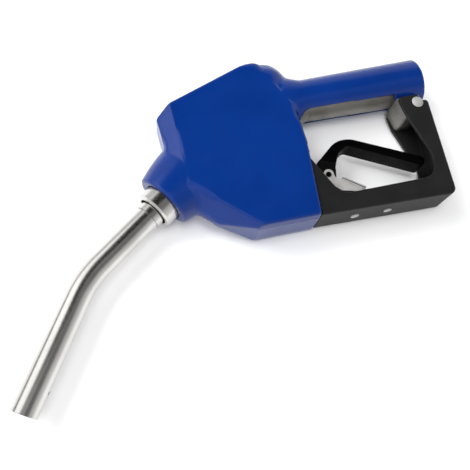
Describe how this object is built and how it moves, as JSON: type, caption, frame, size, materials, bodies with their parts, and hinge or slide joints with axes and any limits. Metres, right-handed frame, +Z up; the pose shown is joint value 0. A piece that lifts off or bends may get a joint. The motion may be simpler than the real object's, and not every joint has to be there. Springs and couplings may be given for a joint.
{
  "type": "fuel nozzle",
  "caption": "Hand-held automatic shut-off fuel nozzle with a bent spout, moulded body cover, squeeze lever with hold-open clip, hand guard and threaded hose inlet.",
  "frame": {"origin": "centre of the hose inlet's mouth, at the rear end of the handle", "axes": "+X back along the handle and out of the inlet, +Y from the lever towards the handle's top, +Z the nozzle's left side; it lies on its right side, so +Z is up"},
  "size_m": [0.3961, 0.2527, 0.0408],
  "materials": {
    "cast_aluminium": "as cast, satin",
    "blue_vinyl": "soft satin gloss moulded vinyl",
    "black_plastic": "fine textured, moulded",
    "grip_plastic": "smooth moulded",
    "stainless": "polished stainless",
    "steel": "black phosphated",
    "brass": "machined",
    "rubber": "black sealing rubber",
    "acetal": "natural acetal"
  },
  "bodies": {
    "nozzle_body": {"valve_body": "cast_aluminium", "scuff_guard": "blue_vinyl", "main_cap": "cast_aluminium", "main_cap_seal": "rubber", "main_valve_spring": "stainless", "valve_seat": "brass", "stem_packing": "rubber", "gland_nut": "brass", "diaphragm": "rubber", "diaphragm_cap": "cast_aluminium", "diaphragm_cap_screws": "steel", "diaphragm_spring": "stainless", "latch_guide_bush": "brass", "latch_spring": "stainless", "inlet_strainer": "stainless", "spout_bushing": "stainless", "spout_adapter": "stainless", "spout_o_ring": "rubber", "spout_set_screw": "steel", "spout_tube": "stainless", "sensing_tube": "stainless", "check_spring": "stainless", "hand_guard": "black_plastic", "guard_rivet": "stainless", "hold_open_rack": "stainless", "rack_rivets": "stainless", "guard_screws": "steel"},
    "main_valve": {"main_stem": "stainless", "main_poppet": "brass", "poppet_disc": "rubber"},
    "latch": {"latch_stem": "stainless", "latch_balls": "steel", "lever_pivot_pin": "steel"},
    "diaphragm_latch_pin": {"latch_pin": "brass"},
    "lever": {"lever_core": "steel", "lever_grip": "grip_plastic", "clip_pin": "stainless", "clip_spring": "stainless"},
    "clip": {"hold_open_clip": "stainless"},
    "check_valve": {"check_poppet": "acetal", "check_seal": "rubber"}
  },
  "joints": [
    {"name": "lever_hinge", "type": "hinge", "parent": "latch", "child": "lever", "pos_m": [-0.186, -0.084, 0], "axis": [0, 0, 1], "range_deg": [0, 12], "stiffness_Nm_per_rad": 4, "springref_deg": -5.73},
    {"name": "main_stem_slide", "type": "slide", "parent": "nozzle_body", "child": "main_valve", "axis": [0, 1, 0], "range_m": [0, 0.0096], "deforming": ["main_valve_spring"]},
    {"name": "latch_slide", "type": "slide", "parent": "nozzle_body", "child": "latch", "axis": [0, -1, 0], "range_m": [0, 0.006], "stiffness_N_per_m": 1500, "springref_m": -0.004, "deforming": ["latch_spring"]},
    {"name": "diaphragm_lift", "type": "slide", "parent": "nozzle_body", "child": "diaphragm_latch_pin", "axis": [0, 1, 0], "range_m": [0, 0.003], "stiffness_N_per_m": 400, "springref_m": -0.003, "deforming": ["diaphragm_spring", "diaphragm"]},
    {"name": "check_lift", "type": "slide", "parent": "nozzle_body", "child": "check_valve", "axis": [-0.8171, -0.5764, 0], "range_m": [0, 0.004], "stiffness_N_per_m": 300, "springref_m": -0.006, "deforming": ["check_spring"]},
    {"name": "clip_hinge", "type": "hinge", "parent": "lever", "child": "clip", "pos_m": [-0.1127, -0.0785, 0], "axis": [0, 0, 1], "range_deg": [-25, 25], "stiffness_Nm_per_rad": 0.02}
  ],
  "couplings": [
    {"joint": "main_stem_slide", "follows": "lever_hinge", "m_per_rad": 0.0455}
  ]
}
